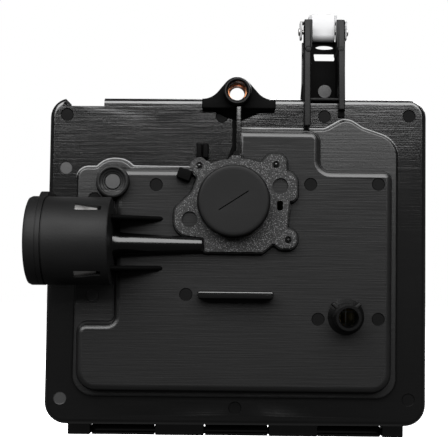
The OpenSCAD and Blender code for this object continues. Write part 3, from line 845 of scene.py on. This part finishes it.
def tube_windows(r):
    """Wedge-shaped cutters through the tube's wall, one above its middle and one below."""
    wide, narrow = -59.6, -49.5
    cutters = []
    for side, low, high in ((1, (-2.3, -2.3), (1.5, -0.2)), (-1, (-1.5, 0.2), (2.3, 2.3))):
        wedge = [(wide, low[0], 0.2), (narrow, low[1], 0.2), (narrow, high[1], 0.2), (wide, high[0], 0.2)]
        cutter = Mesh().slab(wedge, [(r - 6, 0), (r + 4, 0)], "xy").build("window_cut", SATIN)
        angle = WINDOW_TILT if side > 0 else 180 - WINDOW_TILT
        onto_tube = Matrix.Translation((0, PRIMER_Y * MM, PRIMER_Z * MM))
        onto_tube @= Matrix.Rotation(math.radians(angle), 4, "X")
        cutter.data.transform(onto_tube)
        cutters.append(cutter)
    return cutters


def tube_passage(start_x):
    """The tapered pipe from the tube to the throat, with a flared root."""
    length, root_r, tip_r, flare, middle_y, middle_z = 34.6, 4.5, 2.7, 1.2, 1.0, -16.9
    rings, steps = 13, 40
    loops = []
    for k in range(rings):
        t = k / (rings - 1)
        x, radius = start_x + t * length, root_r * (1 - t) + tip_r * t
        radius += flare * max(0, 1 - t * 9) ** 2
        turns = [2 * math.pi * i / steps for i in range(steps)]
        loops.append([(x, middle_y + radius * math.cos(a), middle_z + radius * math.sin(a)) for a in turns])
    return loops


def primer_tube():
    materials, deep, passage = [MATT, PAINTED_SHADE, PASSAGE], 1, 2
    m = Mesh()
    x0, x1, r = -78.0, -46.7, PRIMER_R
    inner = r - 2.2
    m.turn([(inner, x0 + 0.5), (inner + 0.5, x0), (r - 1.4, x0), (r - 0.5, x0 + 0.35), (r, x0 + 1.4),
        (r, x0 + 4.45), (r - 0.13, x0 + 4.55), (r - 0.13, x0 + 4.75), (r, x0 + 4.85), (r, x0 + 6.35),
        (r - 0.7, x0 + 6.5), (r - 0.7, x0 + 6.85), (r - 0.12, x0 + 7.0), (r - 0.12, x1 - 0.5),
        (r - 0.5, x1), (4, x1), (ON_AXIS, x1), (ON_AXIS, x1 - 2), (inner, x1 - 2)],
        (PRIMER_Y, PRIMER_Z), "x", 128)
    tube = cut(m.build("tube", materials), tube_windows(r), 30)
    details = Mesh()
    saddle = [(-12, -14, 2), (11.5, -14, 1), (11.5, 3, 0.5), (-3, 3, 6), (-12, -2, 6)]
    details.slab(saddle, rounded(x0 + 3.2, x0 + 6.3, 0.3, 0.2), "yz")
    details.loft(tube_passage(x1 - 0.2), slot=passage)
    # A dark block of painted shade in the gap at the passage's end
    details.box((-12.7, -0.6, -19.7), (-11.6, 3, -14.4), 0.2, slot=deep)
    # The fins are painted shade
    fin = [(-48.2, -12, 0.3), (-27.5, 3.6, 0.3), (-29, 5, 0.3), (-48.2, 9.2, 0.3)]
    for z in (-7.0, -26.5):
        details.slab(fin, rounded(z - 1.0, z + 1.0, 0.98, 0.98), "xy", slot=deep)
    return joined("primer_tube", [tube, details.build("tube_extras", materials)])


def spigot():
    """A short hollow pin with a flared foot and two gussets."""
    materials, matt = [BLACK, MATT], 1
    m = Mesh()
    m.turn([(SPIGOT_BORE_R, -5.6), (3.9, -6), (4.8, -6), (5.2, -5.5), (5.3, 1.0), (5.9, 2.3), (7.0, 3.2),
        (7.4, 3.9), (SPIGOT_BORE_R, 3.9)], SPIGOT, "y")
    mid = np.array(SPIGOT)
    for a in (math.radians(45), math.radians(135)):
        u = np.array([math.cos(a), math.sin(a)])
        v = np.array([-u[1], u[0]])
        quad = [mid + u * out + v * aside
            for out, aside in ((4.6, -0.8), (7.6, -0.7), (7.6, 0.7), (4.6, 0.8))]
        m.slab([(p[0], p[1], 0.35) for p in quad], rounded(0.4, 3.8, 0.5, 0, 0.2), slot=matt)
    return m.build("spigot", materials)


def hinge_lugs():
    """The hinge bar and the lugs that carry it."""
    m = Mesh()
    x0, x1 = LUGS[0][0] + 1, LUGS[3][1] - 1
    m.turn([(ON_AXIS, x0), (1.3, x0), (1.5, x0 + 0.3), (1.5, x1 - 0.3), (1.3, x1), (ON_AXIS, x1)],
        (HINGE_Y, HINGE_Z), "x", 32)
    back, front, bottom = 26, 33.7, -95.5
    lug = [(back, bottom, 0.8), (front, bottom, 2.4), (front, -90.6, 2.4), (30.2, -89.6, 0.2),
        (back, -89.2, 0.2)]
    for lo, hi in LUGS:
        m.slab(lug, rounded(lo, hi, 0.4, 0.4), "yz")
    return m.build("hinge_lugs", BLACK)


# -------------------- throat
def gasket():
    sheet = Mesh().slab(GASKET, rounded(0.0, 0.98, 0.18, 0.1)).build("gasket", FIBRE)
    holes = [drill((0, 0), THROAT_R + 0.3, -2, 2, 96, FIBRE)]
    holes += [drill(at, SCREW_R, -2, 2, 64, FIBRE) for at in SCREW_AT]
    holes += [drill(at, PIN_HOLE_R, -2, 2, 40, FIBRE) for at in GASKET_PINS]
    holes.append(Mesh().slab(block(*SLOT_X, *SLOT_Z, 1.0), [(-2, 0), (2, 0)]).build("slot", FIBRE))
    return cut(sheet, holes)


def throat_cap():
    """A shallow push-in cap whose face has one faint fold across it."""
    m = Mesh()
    m.turn([(ON_AXIS, -5.75), (6, -5.76), (12.0, -5.8), (12.9, -5.79), (13.4, -5.68), (13.75, -5.4),
        (13.93, -5.0), (14.0, -4.4), (14.0, 7.6), (13.7, 8), (12.2, 8), (12.0, 7.6), (12.0, -3.6),
        (11.6, -4.0), (ON_AXIS, -4.0)], (0, 0), "y", 120)
    turn, half, thin, aside = math.radians(33), 7.0, 0.2, 0.1
    along = np.array([math.cos(turn), math.sin(turn)])
    across = np.array([-along[1], along[0]])
    fold = [along * u + across * (v + aside)
        for u, v in ((-half, thin), (-half, -thin), (half, -thin), (half, thin))]
    m.slab([(p[0], p[1], 0.1) for p in fold], [(-5.785, 0.19), (-5.766, 0.0), (-5.0, 0.0)])
    return m.build("throat_cap", CAP)


# -------------------- latch
def strip(path, thickness, x0, x1, edge):
    """Cross sections, with rounded edges, of a bent strip that follows a path in Y and Z."""
    path = [np.array(p, float) for p in path]
    loops = []
    for i, p in enumerate(path):
        d = unit(path[min(i + 1, len(path) - 1)] - path[max(i - 1, 0)])
        n = np.array([-d[1], d[0]]) * thickness / 2
        lift = n * (1 - 2 * edge / thickness)
        section = [(x0 + edge, n), (x1 - edge, n), (x1, lift), (x1, -lift),
            (x1 - edge, -n), (x0 + edge, -n), (x0, -lift), (x0, lift)]
        loops.append([(x, p[0] + o[0], p[1] + o[1]) for x, o in section])
    return loops


def latch_clip():
    m = Mesh()
    back, front, t = PIVOT_Y - 3.2, PIVOT_Y - 3.2 + 5.8, 0.8
    half, shelf, crown, tip = 4.9, PIVOT_Z + 3.4, PIVOT_Z + 6.8, PIVOT_Z - 1.7
    for side, reach in ((1, 9.9), (-1, 9.3)):
        xs = sorted((TOWER_X + side * half, TOWER_X + side * reach))
        m.box((xs[0], back, shelf), (xs[1], front, shelf + t), 0.25)
        xs = sorted((TOWER_X + side * half, TOWER_X + side * (half + t)))
        m.box((xs[0], back, shelf), (xs[1], front, crown - 0.2), 0.25)
        arm = [(back, PIVOT_Z + 4.15, 0.6), (PIVOT_Y - 2.2, PIVOT_Z - 3.4, 1.4),
            (PIVOT_Y + 2, PIVOT_Z - 3.4, 1.4), (front, PIVOT_Z + 4.15, 0.6)]
        xs = sorted((TOWER_X + side * (reach - t), TOWER_X + side * reach))
        m.slab(arm, rounded(xs[0], xs[1], 0.25, 0.25), "yz")
    # crown and finger tab as one bent strip, curled out at its end
    bend_r, curl_r, bend_sides, curl_sides = 1.1, 2.3, 6, 7
    path = [(front, crown), (back + 1.5, crown)]
    for k in range(1, bend_sides + 1):
        a = math.pi / 2 * k / bend_sides
        path.append((back + 1.5 - bend_r * math.sin(a), crown - bend_r + bend_r * math.cos(a)))
    path.append((back + 0.4, tip))
    for k in range(1, curl_sides + 1):
        a = math.radians(80) * k / curl_sides
        path.append((back + 0.4 + curl_r * (1 - math.cos(a)), tip - curl_r * math.sin(a)))
    m.loft(strip(path, t, TOWER_X - half, TOWER_X + half, 0.37))
    return m.build("latch_clip", STEEL)


def latch_pin():
    m = Mesh()
    x0, x1 = TOWER_X - 9.9, TOWER_X + 10.6
    head_r, shank_r = 1.55, 1.0
    m.turn([(ON_AXIS, x0), (1.3, x0), (head_r, x0 + 0.2), (head_r, x0 + 0.5), (shank_r, x0 + 0.55),
        (shank_r, x1 - 0.55), (head_r, x1 - 0.5), (head_r, x1 - 0.2), (1.3, x1), (ON_AXIS, x1)],
        (PIVOT_Y, PIVOT_Z), "x", 40)
    return m.build("latch_pin", ZINC)


# -------------------- primer
def primer_bulb():
    """A rubber dome with a flange."""
    m = Mesh()
    flange = [(8.3, -71), (12.9, -71), (13.1, -71.2), (13.1, -72.8), (12.9, -73), (10.8, -73)]
    outer = [(10.2 * math.cos(a), -73.6 - 3.6 * math.sin(a)) for a in np.radians(np.arange(0, 88, 9))]
    tip = [(ON_AXIS, -77.2), (ON_AXIS, -75.8)]
    inner = [(8.6 * math.cos(a), -73.4 - 2.4 * math.sin(a)) for a in np.radians(np.arange(81, -1, -9))]
    m.turn(flange + outer + tip + inner, (PRIMER_Y, PRIMER_Z), "x", 96)
    return m.build("primer_bulb", RED)


def bulb_retainer():
    """A steel ring with two prongs, whose tapered ends show in the tube's windows."""
    m = Mesh()
    r = PRIMER_R - 2.2
    m.turn([(11.3, -75.0), (11.5, -75.2), (14.5, -75.2), (r - 0.1, -75.0), (r - 0.1, -73.3),
        (14.5, -73.2), (11.4, -73.2), (11.3, -73.4)], (PRIMER_Y, PRIMER_Z), "x", 96)
    wide, narrow, half = -59.9, -51.0, 2
    for angle in (WINDOW_TILT, 180 - WINDOW_TILT):
        prong = Mesh()
        prong.box((-73.3, -half, r - 1.25), (narrow, half, r - 0.25), 0.2)
        prong.slab([(wide, r - 0.4, 0.1), (narrow, r - 0.4, 0.1), (narrow, r + 0.9, 0.3),
            (wide, r + 1.4, 0.3)], rounded(-half, half, 0.2, 0.2), "xz")
        spin = Matrix.Rotation(math.radians(angle), 4, "X")
        moved = [spin @ Vector(p) for p in prong.points]
        m.add([(p.x, p.y + PRIMER_Y, p.z + PRIMER_Z) for p in moved], prong.faces)
    return m.build("bulb_retainer", ZINC)


# -------------------- filter
def filter_block(extra, r):
    """The corners of the filter's outline, grown by extra."""
    (x0, x1), (z0, z1) = FILTER_X, FILTER_Z
    return block(x0 - extra, x1 + extra, z0 - extra, z1 + extra, r)


def filter_frame():
    """A urethane border with a lip along each face."""
    m = Mesh()
    near, far, border = SEAT_Y, FILTER_FRONT_Y, FILTER_BORDER
    sections = [(near + 0.1, 0.6), (near + 0.6, 0.1), (near + 2.2, 0.0), (near + 3.0, 0.5),
        (far - 3.0, 0.5), (far - 2.0, 0.0), (far - 0.5, 0.1), (far - 0.1, 0.6),
        (far - 0.1, border - 0.6), (far - 0.6, border), (near + 0.6, border), (near + 0.1, border - 0.6)]
    outer, inner = filter_block(0, 3.0), filter_block(0, 8.5)
    loops = [level(outer if t < border / 2 else inner, t, y) for y, t in sections]
    return m.loft(loops, close=True).build("filter_frame", URETHANE)


def filter_pleats():
    """One sheet of paper, folded to and fro with rounded folds."""
    m = Mesh()
    folds, half_t = 40, 0.35
    (x0, x1), (z0, z1) = PAPER_X, PAPER_Z
    near, far = SEAT_Y + 1.7, FILTER_FRONT_Y - 1.3
    pitch = (x1 - x0) / folds
    line = []
    for fold in range(folds + 1):
        y, turn = (near, 1) if fold % 2 == 0 else (far, -1)
        for k in range(-3, 4):
            line.append(np.array([x0 + fold * pitch + 0.22 * k * pitch / 3, y + turn * 0.7 * (k / 3) ** 2]))
    left, right = [], []
    for i, p in enumerate(line):
        d = unit(line[min(i + 1, len(line) - 1)] - line[max(i - 1, 0)])
        n = np.array([-d[1], d[0]]) * half_t
        left.append(p + n)
        right.append(p - n)
    loop = left + right[::-1]
    m.loft([[(p[0], p[1], z) for p in loop] for z in (z0, z1)])
    return m.build("filter_pleats", PAPER, 60)


def filter_screen():
    """Upright wires crossed by level ones."""
    m = Mesh()
    across, down, half_t = 25, 21, 0.25
    (x0, x1), (z0, z1) = PAPER_X, PAPER_Z
    y = SEAT_Y + 0.9
    for i in range(across):
        x = x0 + 0.5 + i * (x1 - x0 - 1) / (across - 1)
        m.box((x - half_t, y - half_t, z0), (x + half_t, y + half_t, z1), 0.12, "xy")
    for i in range(down):
        z = z0 + 0.5 + i * (z1 - z0 - 1) / (down - 1)
        m.box((x0, y - 0.2, z - half_t), (x1, y + 0.3, z + half_t), 0.12, "yz")
    return m.build("filter_screen", WIRE)


def foam_precleaner():
    m = Mesh()
    m.slab(filter_block(0, 4), rounded(FOAM_Y[0] + 0.05, FOAM_Y[1] - 0.05, 1.2, 1.2))
    return m.build("foam_precleaner", FOAM)


# -------------------- cover
LOUVRES = [-66 + i * 9 for i in range(7)]


def cover_tray():
    """The cover's open box, with its louvre slots cut."""
    y0, y1 = COVER_Y
    far_in = 26
    face = [(0.6, far_in), (0.6, 9.5), (0.5, 8.2), (0.15, 7.4), (0, 6.6), (0, 3.2), (0.35, 1.7),
        (1.2, 0.6), (2.6, 0.1), (4, 0.0)]
    mouth = [(0.4, 0.0), (0, 0.35), (0, WALL - 0.35), (0.4, WALL)]
    inside = [(4, WALL), (2.6, WALL + 0.7), (WALL, WALL + 2.5), (WALL, far_in)]
    levels = [(y1 - h, t) for h, t in face] + [(y0 + h, t) for h, t in mouth]
    levels += [(y1 - h, t) for h, t in inside]
    tray = Mesh().slab(inset(RIM, WALL + 0.4), levels).build("cover_shell_body", COVER)
    slots = []
    for z in LOUVRES:
        slot = Mesh().slab(block(-40, 43, z, z + 3.2, 1.5), [(y1 - 5, 0), (y1 + 3, 0)])
        slots.append(slot.build("louvre", COVER))
    return cut(tray, slots)


def louvre_lips(m):
    y1 = COVER_Y[1]
    for z in LOUVRES:
        m.slab(block(-42, 45, z - 2.0, z - 0.5, 0.7), rounded(y1 - 1.2, y1 - 0.05, 0.2, 0.5)[::-1])


def foam_stop(m):
    """The low wall inside the cover that keeps the foam in place."""
    outer, inner = filter_block(-6, 3), filter_block(-7.6, 3)
    ring = [(FOAM_Y[1] + 0.05, 0.2), (COVER_Y[1] - WALL + 0.2, 0.0)]
    loops = [level(outer, t, y) for y, t in ring]
    loops += [level(inner, -t, y) for y, t in ring[::-1]]
    m.loft(loops, close=True)


def catch_plate():
    """The bent arm on the cover's top wall, open below the bridge that the clip holds."""
    half, opening_half, back, front = 8.2, 5.9, CATCH_Y, CATCH_Y + CATCH_T
    arm = [(31.2, 36.5, 0.2), (33.4, 36.5, 0.2), (33.4, 44, 2.2), (front, 50.6, 3),
        (front, BRIDGE_Z, 0.4), (back, BRIDGE_Z, 0.4), (back, 50, 2), (31.2, 43.4, 1.2)]
    plate = Mesh().slab(arm, rounded(TOWER_X - half, TOWER_X + half, 0.4, 0.4), "yz")
    low, high = (TOWER_X - opening_half, back - 2, 51.5), (TOWER_X + opening_half, front + 2, BRIDGE_Z - 1.2)
    opening = Mesh().box(low, high, 0.8)
    return cut(plate.build("catch_arm", COVER), [opening.build("opening", COVER)])


def catch_tongue(m):
    """The tongue on the bridge, which the clip snaps over."""
    half = 4.3
    m.box((TOWER_X - half, CATCH_Y, BRIDGE_Z - 0.6), (TOWER_X + half, CATCH_Y + CATCH_T, PIVOT_Z + 1.4), 0.4)


def hooks(m):
    """Open rings round the hinge bar between its lugs, each with a stem up to the cover."""
    outer_r, inner_r, half_arc, sides = 2.2, 1.62, 155, 24
    angles = [math.radians(half_arc - 2 * half_arc * k / sides) for k in range(sides + 1)]
    ring = [(HINGE_Y + outer_r * math.cos(a), HINGE_Z + outer_r * math.sin(a)) for a in angles]
    ring += [(HINGE_Y + inner_r * math.cos(a), HINGE_Z + inner_r * math.sin(a)) for a in angles[::-1]]
    for (_, left), (right, _) in zip(LUGS, LUGS[1:]):
        x0, x1 = left + 0.5, right - 0.5
        m.loft([[(x, y, z) for y, z in ring] for x in (x0, x1)])
        m.box((x0, HINGE_Y + 1.2, HINGE_Z + 1.4), (x1, HINGE_Y + 2.7, HINGE_Z + 8), 0.3)


def cover():
    shell, plate = cover_tray(), catch_plate()
    details = Mesh()
    for part in (louvre_lips, foam_stop, catch_tongue, hooks):
        part(details)
    return joined("cover", [shell, plate, details.build("cover_details", COVER)])


place(base_tray(), "base", "black_plastic", "base_shell")
place(ear(), "base", "black_plastic", "mount_ear")
place(tower(), "base", "black_plastic", "latch_tower")
place(primer_tube(), "base", "black_plastic", "primer_housing")
place(spigot(), "base", "black_plastic", "breather_spigot")
place(hinge_lugs(), "base", "black_plastic", "hinge_bar")
place(gasket(), "base", "gasket_fibre", "carb_gasket")
place(throat_cap(), "cap", "cap_plastic", "throat_cap")
place(bush(), "base", "bush_copper", "mount_bush")
place(latch_clip(), "latch", "clip_steel", "latch_clip")
place(latch_pin(), "base", "zinc_steel", "latch_pin")
place(bulb_retainer(), "base", "zinc_steel", "bulb_retainer")
place(filter_frame(), "base", "filter_urethane", "filter_frame")
place(filter_pleats(), "base", "filter_paper", "filter_pleats")
place(filter_screen(), "base", "filter_wire", "filter_screen")
pad = place(foam_precleaner(), "base", "foam", "foam_precleaner")
place(cover(), "cover", "cover_plastic", "cover_shell", "catch_arm")

bulb = primer_bulb()
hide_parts("primer_bulb")
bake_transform(bulb)


# -------------------- floor, light and camera
def stage():
    """A pale floor with a painted glow, dimmer near the object and brighter away from it, low enough to
    leave the opened cover in view.
    """
    low = CAD_BOX[0][2] / MM - 75
    size = 3000
    m = Mesh()
    m.add([(-size, -size, low), (size, -size, low), (size, size, low), (-size, size, low)], [[0, 1, 2, 3]])
    white = Nodes("floor_white_painted_glow")
    white.colour(white.blend_colours(white.noise(3), grey(0.90), grey(0.93)))
    reach = white.node("ShaderNodeVectorMath", operation="LENGTH")
    white.link(white.coords, reach.inputs[0])
    # Painted glow: the floor's emission rises from 0.75 near the object to 1.05 away from it
    glow = white.band(reach.outputs["Value"], 0.15, 0.8, 0.75, 1.05)
    white.link(glow, white.shader.inputs["Emission Strength"])
    white.set(Roughness=0.9, Emission_Color=(1, 1, 1, 1), Specular_IOR_Level=0.0)
    floor = m.build("floor", white.material)
    # Seen by the camera only: it neither lights the object nor shows in its sheen
    floor.visible_diffuse = floor.visible_glossy = False


def area(name, at, aim, size, power):
    """A soft lamp of that size at one place, aimed at another."""
    light = bpy.data.lights.new(name, "AREA")
    light.shape, light.size, light.size_y, light.energy = "RECTANGLE", size[0], size[1], power
    obj = bpy.data.objects.new(name, light)
    obj.location = at
    obj.rotation_euler = (Vector(aim) - Vector(at)).to_track_quat("-Z", "Y").to_euler()
    SCENE.collection.objects.link(obj)


def camera():
    """Looks along +Y, almost square on to the carburettor's side."""
    target = Vector((-0.0037, 0, -0.0089))
    tilt, roll, distance = math.radians(-2.0), math.radians(0.6), 0.400
    at = target + distance * Vector((0, -math.cos(tilt), math.sin(tilt)))
    data = bpy.data.cameras.new("camera")
    data.lens, data.sensor_width = 82.4, 36.0
    data.clip_start, data.clip_end = 0.01, 10
    obj = bpy.data.objects.new("camera", data)
    facing = (target - at).to_track_quat("-Z", "Y").to_matrix().to_4x4()
    obj.matrix_world = Matrix.Translation(at) @ facing @ Matrix.Rotation(roll, 4, "Z")
    SCENE.collection.objects.link(obj)
    SCENE.camera = obj


def studio():
    """A bright backdrop with a dim room in front of it."""
    world = bpy.data.worlds.new("studio")
    SCENE.world = world
    world.use_nodes = True
    tree = world.node_tree
    room, backdrop = tree.nodes["Background"], tree.nodes.new("ShaderNodeBackground")
    room.inputs[0].default_value, room.inputs[1].default_value = (1, 1, 1, 1), 0.07
    backdrop.inputs[0].default_value, backdrop.inputs[1].default_value = (1, 1, 1, 1), 1.0
    path, mix = tree.nodes.new("ShaderNodeLightPath"), tree.nodes.new("ShaderNodeMixShader")
    tree.links.new(path.outputs["Is Camera Ray"], mix.inputs[0])
    tree.links.new(room.outputs[0], mix.inputs[1])
    tree.links.new(backdrop.outputs[0], mix.inputs[2])
    tree.links.new(mix.outputs[0], tree.nodes["World Output"].inputs[0])


stage()
studio()
area("key", (-0.10, -0.75, 0.66), (0, 0, -0.02), (1.8, 0.95), 40)
area("back", (0.5, 1.3, 0.9), (0, 0, 0), (1.2, 0.9), 30)
camera()
SCENE.view_settings.view_transform = "Standard"
